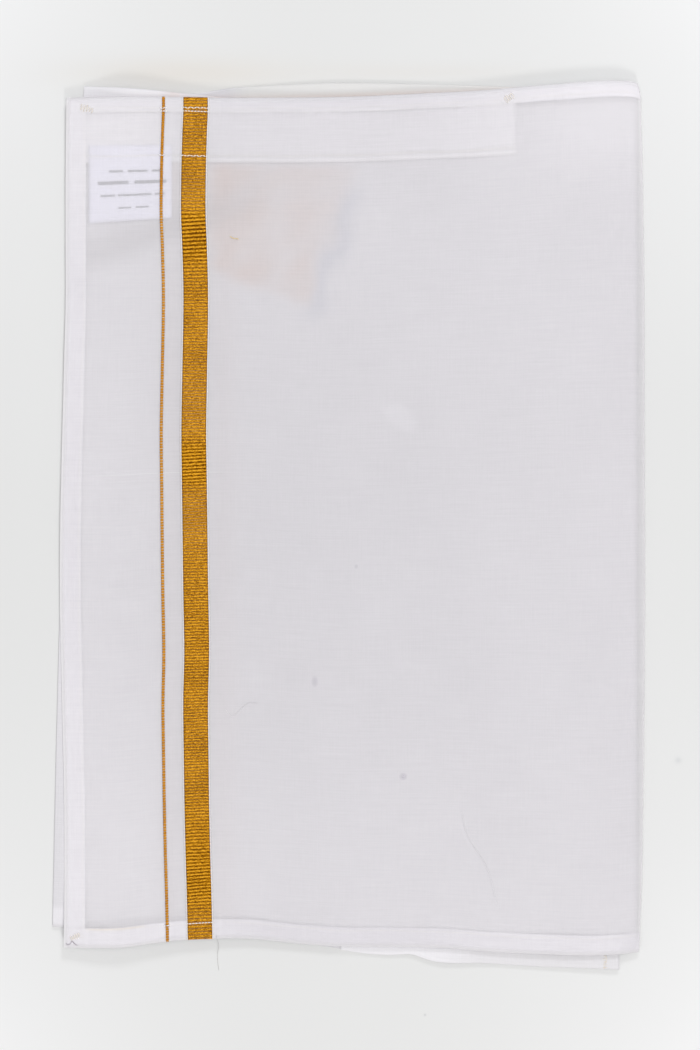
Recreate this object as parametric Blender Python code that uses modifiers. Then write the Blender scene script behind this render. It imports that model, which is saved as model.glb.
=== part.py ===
"""A ready-made dhoti: one sheer cotton cloth with a woven gold border, folded flat in three.

The cloth lies on a surface, Z up, with the waist end at +Y. Its top stretch faces up, turns
round the right-hand fold (+X) and goes back as the second stretch; that turns round the
left-hand fold and comes back as the third and lowest one. The origin is on the surface, under
the middle of the folded cloth. The two hidden stretches are one solid, layered at its edges.
"""

from collections import namedtuple
import math

import bpy
import numpy as np

MM = 0.001

# Driving dimensions
FOLDED_WIDTH = 439 * MM
FOLDED_LENGTH = 658 * MM
WALL = 1.2 * MM
GAP = 0.3 * MM
HALF_WIDTH = FOLDED_WIDTH / 2
HALF_LENGTH = FOLDED_LENGTH / 2

# Sewn and woven details
SIDE_HEM = 15 * MM
TOP_HEM = 11 * MM
BOTTOM_HEM = 14 * MM
TRIM_WALL = 1.0 * MM
WAISTBAND_LENGTH = 332 * MM
WAISTBAND_DEPTH = 48 * MM
LABEL_WIDTH = 62 * MM
LABEL_DEPTH = 57 * MM
LABEL_FROM_SIDE = 18.4 * MM
LABEL_FROM_TOP = 35 * MM
ZARI_LINE_FROM_SIDE = 70.5 * MM
ZARI_LINE_WIDTH = 2.2 * MM
ZARI_BAND_FROM_SIDE = 86.9 * MM
ZARI_BAND_WIDTH = 18.3 * MM

# Heights of the stack, from the surface up
LOWEST_TOP = WALL
HIDDEN_TOP = 2 * WALL
WAISTBAND_MIDDLE = HIDDEN_TOP + GAP + TRIM_WALL / 2
LABEL_MIDDLE = WAISTBAND_MIDDLE + TRIM_WALL + GAP
HEM_MIDDLE = LABEL_MIDDLE
PANEL_MIDDLE = HEM_MIDDLE + TRIM_WALL / 2 + GAP + WALL / 2
SECOND_MIDDLE = LOWEST_TOP + WALL / 2
FOLD_RADIUS = (PANEL_MIDDLE - SECOND_MIDDLE) / 2
FOLD_RETURN = 8 * MM

# An edge's stand-off from its straight line, outwards, at places along it from 0 to 1
Edge = namedtuple("Edge", "along out")

# Side edge and fold edge of the top stretch, from the bottom end up
SIDE_LINE = -211 * MM
SIDE_EDGE = (Edge(0.0, -2.0 * MM), Edge(0.33, -0.4 * MM), Edge(0.56, 0.1 * MM),
             Edge(0.80, -1.4 * MM), Edge(1.0, -2.9 * MM))
FOLD_LINE = HALF_WIDTH - WALL / 2
FOLD_EDGE = (Edge(0.0, -4.4 * MM), Edge(0.06, -2.6 * MM), Edge(0.36, 0.0),
             Edge(0.80, -0.8 * MM), Edge(0.97, -3.0 * MM), Edge(1.0, -5.0 * MM))

# Cut ends of the top stretch, from the side edge across to the fold
BOTTOM_LINE = -311 * MM
BOTTOM_END = (Edge(0.0, 0.8 * MM), Edge(0.09, 0.2 * MM), Edge(0.21, -5.5 * MM),
              Edge(0.31, -5.5 * MM), Edge(0.48, 0.4 * MM), Edge(0.66, 1.6 * MM),
              Edge(0.80, 5.4 * MM), Edge(0.97, 6.2 * MM), Edge(1.0, 4.0 * MM))
TOP_LINE = HALF_LENGTH - 12 * MM
TOP_END = (Edge(0.0, -0.4 * MM), Edge(0.26, -0.4 * MM), Edge(0.50, 0.6 * MM),
           Edge(0.74, 6.0 * MM), Edge(0.84, 9.6 * MM), Edge(0.97, 12.0 * MM),
           Edge(1.0, 11.0 * MM))

# How far the woven border wanders sideways, from the bottom end up
BORDER_SWAY = (Edge(0.0, 4.8 * MM), Edge(0.11, 3.0 * MM), Edge(0.23, 1.9 * MM),
               Edge(0.28, 1.65 * MM), Edge(0.34, 2.5 * MM), Edge(0.46, 1.65 * MM),
               Edge(0.60, 0.7 * MM), Edge(0.73, 1.5 * MM), Edge(0.82, 0.3 * MM),
               Edge(0.86, -0.8 * MM), Edge(0.90, -0.8 * MM), Edge(1.0, 1.1 * MM))
BORDER_SWAY_REACH = 90 * MM

# Soft lifts of the top stretch: place, height and reach each way
Lift = namedtuple("Lift", "x y height reach_x reach_y")
LIFTS = (
    Lift(-175 * MM, -330 * MM, 5.0 * MM, 60 * MM, 42 * MM),
    Lift(-165 * MM, 335 * MM, 2.6 * MM, 60 * MM, 40 * MM),
    Lift(170 * MM, 335 * MM, 2.2 * MM, 70 * MM, 40 * MM),
)
FIELD_SAG = 1.4 * MM
FIELD_MARGIN = 70 * MM

# Corners and edges of the hidden stretches, and their cut ends from the left fold across
SECOND_RIGHT = FOLD_LINE - FOLD_RADIUS - FOLD_RETURN - 6 * MM
LOWEST_RIGHT = 201 * MM
LEFT_FOLD_LOW_X = -HALF_WIDTH
LEFT_FOLD_HIGH_X = -196 * MM
LEFT_FOLD_LOW_Y = 32 * MM - HALF_LENGTH
LEFT_FOLD_BOW = 2.4 * MM
SECOND_LOW_END = (Edge(0.0, 0.0), Edge(0.12, 2.0 * MM), Edge(0.5, 2.5 * MM),
                  Edge(1.0, 2.5 * MM))
LOWEST_LOW_END = (Edge(0.0, 0.0), Edge(0.12, 4.0 * MM), Edge(0.49, 16.0 * MM),
                  Edge(0.60, 20.0 * MM), Edge(0.68, 25.5 * MM), Edge(0.85, 29.5 * MM),
                  Edge(1.0, 32.0 * MM))
LEFT_FOLD_HIGH_Y = 326 * MM
SECOND_HIGH_END = (Edge(0.0, 0.0), Edge(0.11, -3.2 * MM), Edge(0.20, -6.6 * MM),
                   Edge(0.35, -12.0 * MM), Edge(1.0, -6.0 * MM))
LOWEST_HIGH_END = (Edge(0.0, -1.2 * MM), Edge(0.12, -5.0 * MM), Edge(0.20, -5.5 * MM),
                   Edge(0.27, -0.6 * MM), Edge(0.46, 2.6 * MM), Edge(0.64, 1.6 * MM),
                   Edge(0.80, -0.4 * MM), Edge(1.0, -6.0 * MM))
LOWEST_HEM_START = -4 * MM
LOWEST_HEM_DEPTH = 13 * MM

collection = None


def through(rows, place):
    """A smooth curve through a table's rows: cubics whose slopes are those of the chords."""
    along = np.array([row.along for row in rows])
    out = np.array([row.out for row in rows])
    slope = np.gradient(out, along)
    i = np.clip(np.searchsorted(along, place, side="right") - 1, 0, len(along) - 2)
    run = along[i + 1] - along[i]
    s = np.clip((place - along[i]) / run, 0, 1)
    ends = out[i] * (1 + 2 * s) * (1 - s) ** 2 + out[i + 1] * s * s * (3 - 2 * s)
    bends = run * (slope[i] * s * (1 - s) ** 2 - slope[i + 1] * s * s * (1 - s))
    return ends + bends


def smooth_step(value, low, high):
    """Rises softly from 0 at low to 1 at high."""
    s = np.clip((value - low) / (high - low), 0, 1)
    return s * s * (3 - 2 * s)


def panel_width():
    """The flat width of the top stretch, from its side edge to where the fold starts."""
    return FOLD_LINE - FOLD_RADIUS - SIDE_LINE


def panel_length():
    """The length of the top stretch between its cut ends."""
    return TOP_LINE - BOTTOM_LINE


def panel_height(x, y):
    """Height of the top stretch's middle: level at its hems, sagging in the field, lifted
    softly at three places along its ends."""
    in_x = smooth_step(x, SIDE_LINE + 80 * MM, SIDE_LINE + 80 * MM + FIELD_MARGIN)
    in_x = in_x * smooth_step(-x, -FOLD_LINE + 10 * MM, -FOLD_LINE + 10 * MM + FIELD_MARGIN)
    in_y = smooth_step(y, BOTTOM_LINE + 20 * MM, BOTTOM_LINE + 20 * MM + FIELD_MARGIN)
    in_y = in_y * smooth_step(-y, -TOP_LINE + 60 * MM, -TOP_LINE + 60 * MM + FIELD_MARGIN)
    z = PANEL_MIDDLE - FIELD_SAG * in_x * in_y
    for lift in LIFTS:
        reach = ((x - lift.x) / lift.reach_x) ** 2 + ((y - lift.y) / lift.reach_y) ** 2
        z = z + lift.height * np.exp(-reach)
    return z


def panel_points(across, up):
    """Points of the top stretch's middle surface on a grid: across from the side edge in
    metres, up from the bottom end as a part of the length. Rows run up, columns across."""
    a, b = np.meshgrid(across / panel_width(), up)
    left = SIDE_LINE - through(SIDE_EDGE, b)
    right = FOLD_LINE + through(FOLD_EDGE, b) - FOLD_RADIUS
    low = BOTTOM_LINE - through(BOTTOM_END, a)
    high = TOP_LINE + through(TOP_END, a)
    x = left + (right - left) * a
    border = (ZARI_BAND_FROM_SIDE + ZARI_BAND_WIDTH / 2) / panel_width()
    spread = (a - border) * panel_width() / BORDER_SWAY_REACH
    x = x + through(BORDER_SWAY, b) * np.exp(-spread ** 2) * smooth_step(a, 0.0, 0.12)
    y = low + (high - low) * b
    return np.stack((x, y, panel_height(x, y)), axis=-1)


def panel_columns():
    """Places across the top stretch: the edges of its hem and border, then even steps."""
    edges = [0, SIDE_HEM, SIDE_HEM + GAP, ZARI_LINE_FROM_SIDE,
             ZARI_LINE_FROM_SIDE + ZARI_LINE_WIDTH, ZARI_BAND_FROM_SIDE,
             ZARI_BAND_FROM_SIDE + ZARI_BAND_WIDTH]
    between = np.linspace(SIDE_HEM + GAP, ZARI_LINE_FROM_SIDE, 5)[1:-1]
    field = np.linspace(edges[-1], panel_width(), 17)[1:]
    return np.unique(np.round(np.concatenate((edges, between, field)), 7))


def panel_rows():
    """Places up the top stretch: even steps, with rows at the hems' inner edges."""
    low = BOTTOM_HEM / panel_length()
    high = 1 - TOP_HEM / panel_length()
    return np.concatenate(([0], np.linspace(low, high, 27), [1]))


def add_material(thing, colour, roughness, metallic=0.0):
    """A Principled material of the thing's own."""
    material = bpy.data.materials.new(thing.name)
    material.use_nodes = True
    shader = material.node_tree.nodes["Principled BSDF"]
    shader.inputs["Base Color"].default_value = (*colour, 1.0)
    shader.inputs["Roughness"].default_value = roughness
    shader.inputs["Metallic"].default_value = metallic
    thing.data.materials.append(material)


def name_and_collect(name):
    """Names the active object and its mesh, and moves it into the cloth's collection."""
    thing = bpy.context.active_object
    thing.name = name
    thing.data.name = name
    for old in thing.users_collection:
        old.objects.unlink(thing)
    collection.objects.link(thing)
    return thing


def add_wall(name, points, thickness):
    """A cloth wall: a grid whose points are moved to the given middle surface, rows up and
    columns across, then thickened evenly to both sides."""
    rows, columns = points.shape[:2]
    bpy.ops.mesh.primitive_grid_add(x_subdivisions=columns - 1, y_subdivisions=rows - 1)
    wall = name_and_collect(name)
    wall.data.vertices.foreach_set("co", points.reshape(-1))
    wall.data.update()
    solidify = wall.modifiers.new("wall", "SOLIDIFY")
    solidify.thickness = thickness
    solidify.offset = 0
    return wall


def raised(points, height):
    """The same points, moved up."""
    return points + np.array((0, 0, height))


def add_top_panel():
    """The top stretch and its turn round the right-hand fold: the flat rows, then a half
    circle down, then a short way back at the height of the second stretch."""
    flat = panel_points(panel_columns(), panel_rows())
    last = flat[:, -1]
    radius = (last[:, 2] - SECOND_MIDDLE) / 2
    turn = []
    for angle in np.radians(np.arange(60, -91, -30)):
        x = last[:, 0] + FOLD_RADIUS * math.cos(angle)
        z = SECOND_MIDDLE + radius * (1 + math.sin(angle))
        turn.append(np.stack((x, last[:, 1], z), axis=-1))
    back = turn[-1] - np.array((FOLD_RETURN, 0, 0))
    points = np.concatenate((flat, np.stack(turn + [back], axis=1)), axis=1)
    add_material(add_wall("top_panel", points, WALL), (0.70, 0.69, 0.74), 0.85)


def add_hems():
    """The turned edges under the top stretch, made from its points and moved down."""
    columns = panel_columns()
    rows = panel_rows()
    drop = HEM_MIDDLE - PANEL_MIDDLE
    side = columns[columns <= SIDE_HEM + GAP / 2]
    ends = columns[columns >= SIDE_HEM + GAP / 2]
    shapes = (
        ("side_hem", side, rows),
        ("bottom_hem", ends, rows[:2]),
        ("top_hem", ends, rows[-2:]),
    )
    for name, across, up in shapes:
        points = raised(panel_points(across, up), drop)
        add_material(add_wall(name, points, TRIM_WALL), (0.80, 0.79, 0.84), 0.85)


def add_zari():
    """The woven gold, lying on the top stretch: made from its points and moved up."""
    columns = panel_columns()
    lift = WALL / 2 + GAP + TRIM_WALL / 2
    shapes = (
        ("zari_line", ZARI_LINE_FROM_SIDE, ZARI_LINE_WIDTH),
        ("zari_band", ZARI_BAND_FROM_SIDE, ZARI_BAND_WIDTH),
    )
    for name, start, width in shapes:
        near = (columns > start - GAP) & (columns < start + width + GAP)
        points = raised(panel_points(columns[near], panel_rows()), lift)
        add_material(add_wall(name, points, TRIM_WALL), (0.47, 0.21, 0.012), 0.42, 0.6)


def add_waistband():
    """The strip behind the top end: it follows that end, level on the hidden stretches."""
    across = np.linspace(WALL, WAISTBAND_LENGTH, 14)
    up = 1 - np.array((WAISTBAND_DEPTH, WAISTBAND_DEPTH / 2, WALL)) / panel_length()
    points = panel_points(across, up)
    points[..., 2] = WAISTBAND_MIDDLE
    add_material(add_wall("waistband", points, TRIM_WALL), (0.76, 0.75, 0.79), 0.85)


def add_care_label():
    """The label: its upper edge laps the waistband, and it lies level below that."""
    left = SIDE_LINE + LABEL_FROM_SIDE
    top = TOP_LINE - LABEL_FROM_TOP
    x, y = np.meshgrid(np.linspace(left, left + LABEL_WIDTH, 4),
                       np.linspace(top - LABEL_DEPTH, top, 5))
    points = np.stack((x, y, np.full_like(x, LABEL_MIDDLE)), axis=-1)
    add_material(add_wall("care_label", points, TRIM_WALL), (0.80, 0.80, 0.90), 0.6)


def hidden_outline(right, low_end, high_end, steps):
    """The outline of a hidden stretch, anticlockwise from its lower left corner: low cut end,
    right edge, high cut end and the bowed left fold, with a corner at each change."""
    t = np.arange(steps) / steps
    left_x = LEFT_FOLD_LOW_X + (LEFT_FOLD_HIGH_X - LEFT_FOLD_LOW_X) * (1 - t)
    left_x = left_x - LEFT_FOLD_BOW * np.sin(math.pi * t)
    low = (LEFT_FOLD_LOW_X + (right - LEFT_FOLD_LOW_X) * t,
           LEFT_FOLD_LOW_Y - through(low_end, t))
    right_low = LEFT_FOLD_LOW_Y - low_end[-1].out
    right_high = LEFT_FOLD_HIGH_Y + high_end[-1].out
    side = (np.full(steps, right), right_low + (right_high - right_low) * t)
    high = (right + (LEFT_FOLD_HIGH_X - right) * t,
            LEFT_FOLD_HIGH_Y + through(high_end, 1 - t))
    high_left = LEFT_FOLD_HIGH_Y + high_end[0].out
    fold = (left_x, high_left + (LEFT_FOLD_LOW_Y - high_left) * t)
    return np.concatenate([np.stack(part, axis=-1) for part in (low, side, high, fold)])


def inset(outline, distance):
    """The outline moved inwards, point by point along the mean of its sides' normals."""
    ahead = np.roll(outline, -1, axis=0) - outline
    behind = outline - np.roll(outline, 1, axis=0)
    direction = ahead / np.linalg.norm(ahead, axis=1)[:, None]
    direction = direction + behind / np.linalg.norm(behind, axis=1)[:, None]
    direction = direction / np.linalg.norm(direction, axis=1)[:, None]
    inward = np.stack((-direction[:, 1], direction[:, 0]), axis=-1)
    return outline + inward * distance


def add_under_layers():
    """The two hidden stretches as one solid: outlines stacked from the surface up, each
    stretch rounded at its edge, with a groove between them."""
    steps = 16
    lowest = hidden_outline(LOWEST_RIGHT, LOWEST_LOW_END, LOWEST_HIGH_END, steps)
    second = hidden_outline(SECOND_RIGHT, SECOND_LOW_END, SECOND_HIGH_END, steps)
    Ring = namedtuple("Ring", "outline inset height")
    rings = (
        Ring(lowest, 0.5 * WALL, 0.0),
        Ring(lowest, 0.0, 0.45 * WALL),
        Ring(lowest, 0.4 * WALL, 0.95 * WALL),
        Ring(second, 0.4 * WALL, 1.05 * WALL),
        Ring(second, 0.0, 1.55 * WALL),
        Ring(second, 0.5 * WALL, 2.0 * WALL),
    )
    count = len(lowest)
    points = []
    for ring in rings:
        flat = inset(ring.outline, ring.inset)
        points.extend((x, y, ring.height) for x, y in flat)
    faces = [tuple(reversed(range(count)))]
    for level in range(len(rings) - 1):
        for i in range(count):
            j = (i + 1) % count
            low = level * count
            faces.append((low + i, low + j, low + count + j, low + count + i))
    faces.append(tuple(range((len(rings) - 1) * count, len(rings) * count)))
    mesh = bpy.data.meshes.new("under_layers")
    mesh.from_pydata(points, [], faces)
    thing = bpy.data.objects.new("under_layers", mesh)
    collection.objects.link(thing)
    add_material(thing, (0.68, 0.67, 0.72), 0.85)


def add_lower_bottom_hem():
    """The bottom hem of the lowest stretch, where it stands out past the top stretch."""
    span = LOWEST_RIGHT - LEFT_FOLD_LOW_X
    x = np.linspace(LOWEST_HEM_START, LOWEST_RIGHT - WALL, 12)
    edge = LEFT_FOLD_LOW_Y - through(LOWEST_LOW_END, (x - LEFT_FOLD_LOW_X) / span)
    rows = np.array((0.6 * WALL, LOWEST_HEM_DEPTH))
    y = edge[None, :] + rows[:, None]
    z = np.full_like(y, LOWEST_TOP + GAP + TRIM_WALL / 2)
    points = np.stack((np.broadcast_to(x, y.shape), y, z), axis=-1)
    wall = add_wall("lower_bottom_hem", points, TRIM_WALL)
    add_material(wall, (0.78, 0.77, 0.82), 0.85)


for old_thing in list(bpy.data.objects):
    bpy.data.objects.remove(old_thing)
collection = bpy.data.collections.new("dhoti_cloth")
bpy.context.scene.collection.children.link(collection)

add_under_layers()
add_lower_bottom_hem()
add_waistband()
add_care_label()
add_hems()
add_top_panel()
add_zari()
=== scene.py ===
"""A ready-made dhoti of sheer white cotton with a woven gold border, folded flat in three."""

from collections import namedtuple
import math

import bpy
import numpy as np
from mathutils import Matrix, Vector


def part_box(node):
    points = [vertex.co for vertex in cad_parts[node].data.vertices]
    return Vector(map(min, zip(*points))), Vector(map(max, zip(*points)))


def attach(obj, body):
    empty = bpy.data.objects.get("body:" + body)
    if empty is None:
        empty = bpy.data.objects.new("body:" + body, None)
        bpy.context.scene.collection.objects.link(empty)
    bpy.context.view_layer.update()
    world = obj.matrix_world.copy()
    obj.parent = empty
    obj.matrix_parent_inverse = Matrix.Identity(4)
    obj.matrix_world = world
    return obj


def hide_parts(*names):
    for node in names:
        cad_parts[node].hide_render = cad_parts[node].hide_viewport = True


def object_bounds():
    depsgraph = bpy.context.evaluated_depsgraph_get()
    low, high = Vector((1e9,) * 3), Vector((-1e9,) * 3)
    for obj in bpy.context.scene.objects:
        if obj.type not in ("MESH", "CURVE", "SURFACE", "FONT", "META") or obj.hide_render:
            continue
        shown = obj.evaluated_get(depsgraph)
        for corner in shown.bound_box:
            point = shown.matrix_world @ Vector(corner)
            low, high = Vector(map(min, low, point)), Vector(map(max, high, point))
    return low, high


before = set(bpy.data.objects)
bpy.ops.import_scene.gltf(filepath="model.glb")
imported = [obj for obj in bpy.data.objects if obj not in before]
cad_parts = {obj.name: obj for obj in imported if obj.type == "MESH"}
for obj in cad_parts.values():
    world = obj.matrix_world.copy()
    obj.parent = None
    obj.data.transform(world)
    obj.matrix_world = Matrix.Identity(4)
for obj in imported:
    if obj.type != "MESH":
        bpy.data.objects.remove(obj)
cad_low, cad_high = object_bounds()
MM = 0.001


# ---------------------------------------------------------------------------------------
# The cloth's top stretch. One layer of sheer plain-weave cotton, pressed flat. Its three
# free edges are turned under, and its fourth runs round the right-hand fold.
# ---------------------------------------------------------------------------------------

COTTON = 0.2 * MM
EDGE_TURN = 0.3 * MM
FOLD_SETTLE = 0.9 * MM
FOLD_SETTLE_REACH = 13 * MM
SIDE_SETTLE = 2.0 * MM
SIDE_SETTLE_REACH = 50 * MM
INNER_SETTLE = 0.95 * SIDE_SETTLE
END_SETTLE = 0.6 * MM
END_SETTLE_REACH = 45 * MM
RETURN_HEIGHT = 2.3 * MM
SECOND_HEIGHT = 3.0 * MM
TOP_HEIGHT = 4.5 * MM
SIDE_HEM = 15 * MM
TOP_HEM = 11 * MM
BOTTOM_HEM = 14 * MM
WAIST_DEPTH = 48 * MM
WAIST_LENGTH = 338 * MM
BAND_START = 86.9 * MM
BAND_WIDTH = 18.3 * MM
BAND_MIDDLE = BAND_START + BAND_WIDTH / 2

side_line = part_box("side_hem")[0][0]
fold_line = cad_high[0] - COTTON / 2
top_line = cad_high[1] - 12 * MM
bottom_line = -311 * MM
cloth_width = fold_line - side_line
cloth_length = top_line - bottom_line

# An edge's stand-off from its straight line, outwards, at places along it from 0 to 1
Edge = namedtuple("Edge", "along out")


def edge(*rows):
    """An edge's rows, from pairs: the place along it, and the stand-off in millimetres."""
    return tuple(Edge(along, out * MM) for along, out in rows)


SIDE_EDGE = edge((0.0, -0.8), (0.10, -0.7), (0.18, -0.5), (0.25, 0.5), (0.34, 1.7), (0.41, 2.6),
                 (0.47, 2.5), (0.55, 1.7), (0.63, 0.4), (0.69, -0.5), (0.76, -1.6),
                 (0.83, -1.6), (0.92, -1.7), (1.0, -2.5))
FOLD_EDGE = edge((0.0, -4.4), (0.06, -2.6), (0.18, -1.2), (0.36, 0.0), (0.58, -0.2),
                 (0.80, -0.8), (0.96, -2.8), (0.988, -3.6), (1.0, -5.4))
BOTTOM_END = edge((0.0, 0.8), (0.09, 0.2), (0.14, -2.6), (0.21, -5.3), (0.25, -5.7),
                  (0.31, -5.5), (0.38, -2.6), (0.48, 0.4), (0.57, 0.7), (0.66, 1.6),
                  (0.74, 4.2), (0.82, 5.8), (0.96, 6.3), (1.0, 4.6))
TOP_END = edge((0.0, -0.4), (0.13, 0.0), (0.26, -0.4), (0.36, -0.2), (0.50, 0.6), (0.62, 2.8),
               (0.74, 5.4), (0.80, 7.6), (0.86, 9.5), (0.97, 12.0), (0.99, 11.6), (1.0, 10.4))
BORDER_SWAY = edge((0.0, 5.76), (0.05, 4.7), (0.11, 3.44), (0.17, 2.64), (0.23, 2.66),
                   (0.28, 2.85), (0.34, 4.2), (0.40, 4.25), (0.46, 3.75), (0.55, 2.4),
                   (0.60, 1.4), (0.67, 1.2), (0.73, 1.15), (0.78, 0.85), (0.82, 0.26),
                   (0.86, -0.64), (0.90, -0.5), (0.96, 0.45), (1.0, 1.4))
BORDER_SWAY_REACH = 90 * MM

# Soft lifts: place, height and reach each way
Lift = namedtuple("Lift", "x y height reach_x reach_y")
TOP_LIFTS = (
    Lift(-175 * MM, -330 * MM, 5.0 * MM, 60 * MM, 42 * MM),
    Lift(-165 * MM, 335 * MM, 3.8 * MM, 60 * MM, 36 * MM),
    Lift(170 * MM, 335 * MM, 1.8 * MM, 70 * MM, 40 * MM),
    Lift(-40 * MM, -322 * MM, -0.4 * MM, 60 * MM, 24 * MM),
    Lift(150 * MM, -330 * MM, 0.5 * MM, 45 * MM, 26 * MM),
    Lift(-20 * MM, 334 * MM, -0.4 * MM, 80 * MM, 22 * MM),
)
FIELD_SAG = 0.6 * MM
FIELD_MARGIN = 70 * MM
FIELD_FROM_SIDE = 80 * MM
FIELD_FROM_FOLD = 10 * MM
FIELD_FROM_BOTTOM = 20 * MM
FIELD_FROM_TOP = 60 * MM

# Creases, in millimetres: from one place to another, how wide and how high (a trough is
# negative)
Crease = namedtuple("Crease", "x0 y0 x1 y1 width height")
TOP_CREASES = [Crease(*(number * MM for number in row)) for row in (
    (-199, 38, -80, 37, 1.1, 0.34),
    (203, 300, 112, 234, 15, -0.45),
    (158, 316, 157, 238, 3.0, 0.30),
    (-55, 316, -46, 270, 3.2, 0.32),
    (-210, 186, -60, 238, 9.0, -0.60),
    (-96, 233, -38, 247, 6.0, -0.30),
    (2, 226, -30, 168, 6.0, -0.32),
    (-206, -60, -150, -52, 12, 0.22),
    (20, -120, 150, -150, 26, 0.30),
    (-60, 60, 90, 82, 30, -0.28),
    (170, -40, 206, -210, 12, 0.30),
    (-170, -180, -120, -260, 16, 0.26),
)]


def through(rows, place):
    """A smooth curve through a table's rows: cubics whose slopes are those of the chords."""
    along = np.array([row.along for row in rows])
    out = np.array([row.out for row in rows])
    slope = np.gradient(out, along)
    i = np.clip(np.searchsorted(along, place, side="right") - 1, 0, len(along) - 2)
    run = along[i + 1] - along[i]
    part = np.clip((place - along[i]) / run, 0, 1)
    ends = out[i] * (1 + 2 * part) * (1 - part) ** 2 + out[i + 1] * part ** 2 * (3 - 2 * part)
    return ends + run * part * (1 - part) * (slope[i] * (1 - part) - slope[i + 1] * part)


def smooth_step(value, low, high):
    """Rises softly from 0 at low to 1 at high, as 3 p squared less 2 p cubed."""
    part = np.clip((value - low) / (high - low), 0, 1)
    return part * part * (3 - 2 * part)


def unevenness(x, y, seed, longest, shortest, waves=14):
    """A sum of plane waves with random directions and phases, each as high as it is long,
    scaled to run from about -1 to 1."""
    rng = np.random.default_rng(seed)
    lengths = np.geomspace(longest, shortest, waves)
    total = 0
    for length in lengths:
        turn, phase = rng.uniform(0, 2 * math.pi, 2)
        wave = (x * math.cos(turn) + y * math.sin(turn)) * 2 * math.pi / length + phase
        total = total + np.sin(wave) * length
    return total / (lengths.sum() * 0.45)


def lifted(x, y, lifts):
    """The sum of the lifts: each falls off as a bell curve from its place."""
    total = np.zeros(np.broadcast(x, y).shape)
    for lift in lifts:
        reach = ((x - lift.x) / lift.reach_x) ** 2 + ((y - lift.y) / lift.reach_y) ** 2
        total = total + lift.height * np.exp(-reach)
    return total


def creased(x, y, creases):
    """The sum of the creases: a bell curve across each, wandering a little, that fades out
    towards both ends."""
    total = np.zeros(np.broadcast(x, y).shape)
    for number, c in enumerate(creases):
        length = math.hypot(c.x1 - c.x0, c.y1 - c.y0)
        ux, uy = (c.x1 - c.x0) / length, (c.y1 - c.y0) / length
        along = ((x - c.x0) * ux + (y - c.y0) * uy) / length
        across = (y - c.y0) * ux - (x - c.x0) * uy
        across = across + 0.5 * c.width * np.sin(along * 5 + number)
        ends = smooth_step(along, -0.05, 0.25) * smooth_step(-along, -1.05, -0.7)
        total = total + c.height * np.exp(-(across / c.width) ** 2) * ends
    return total


def puckers(distance, along, depth, reach, seed):
    """Ripples that stitching pulls into cloth: short waves along a seam, strongest on it."""
    rng = np.random.default_rng(seed)
    ripple = sum(np.sin(along * 2 * math.pi / length + rng.uniform(0, 6.3))
                 for length in (7.3 * MM, 9.7 * MM, 13.1 * MM, 21.0 * MM))
    swell = 0.55 + 0.45 * np.sin(along * 2 * math.pi / (88 * MM) + seed)
    return depth / 3 * ripple * swell * np.exp(-(distance / reach) ** 2)


def top_height(s, t, x, y):
    """Height of the top stretch's middle: level at its hems, sagging softly in the field and
    settling towards the fold, with its lifts, creases, puckers and unevenness."""
    in_x = smooth_step(s, FIELD_FROM_SIDE, FIELD_FROM_SIDE + FIELD_MARGIN)
    in_x = in_x * smooth_step(cloth_width - s, FIELD_FROM_FOLD, FIELD_FROM_FOLD + FIELD_MARGIN)
    in_y = smooth_step(t, FIELD_FROM_BOTTOM, FIELD_FROM_BOTTOM + FIELD_MARGIN)
    in_y = in_y * smooth_step(cloth_length - t, FIELD_FROM_TOP, FIELD_FROM_TOP + FIELD_MARGIN)
    z = TOP_HEIGHT - FIELD_SAG * in_x * in_y
    z = z - FOLD_SETTLE * smooth_step(s, cloth_width - FOLD_SETTLE_REACH, cloth_width + 2 * MM)
    z = z - SIDE_SETTLE * (1 - smooth_step(s, 0, SIDE_SETTLE_REACH))
    z = z - END_SETTLE * (1 - smooth_step(t, 0, END_SETTLE_REACH)) * smooth_step(s, 0.06, 0.2)
    z = z + lifted(x, y, TOP_LIFTS) + creased(x, y, TOP_CREASES)
    z = z + 0.22 * MM * unevenness(x, y, 3, 170 * MM, 34 * MM)
    z = z + puckers(s - SIDE_HEM, t, 0.16 * MM, 9 * MM, 11)
    z = z + puckers(t - BOTTOM_HEM, s, 0.16 * MM, 8 * MM, 12)
    z = z + puckers(cloth_length - TOP_HEM - t, s, 0.22 * MM, 8 * MM, 13)
    on_strip = smooth_step(WAIST_LENGTH - s, -4 * MM, 4 * MM)
    return z + on_strip * puckers(cloth_length - WAIST_DEPTH - t, s, 0.10 * MM, 7 * MM, 14)


def turned(beyond, radius):
    """A turned edge: what lies beyond it runs round a half circle of that radius, then back
    beneath. Gives how far out and how far down it is."""
    angle = np.minimum(beyond / radius, math.pi)
    back = np.maximum(beyond - math.pi * radius, 0)
    return radius * np.sin(angle) - back, radius * (1 - np.cos(angle))


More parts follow.
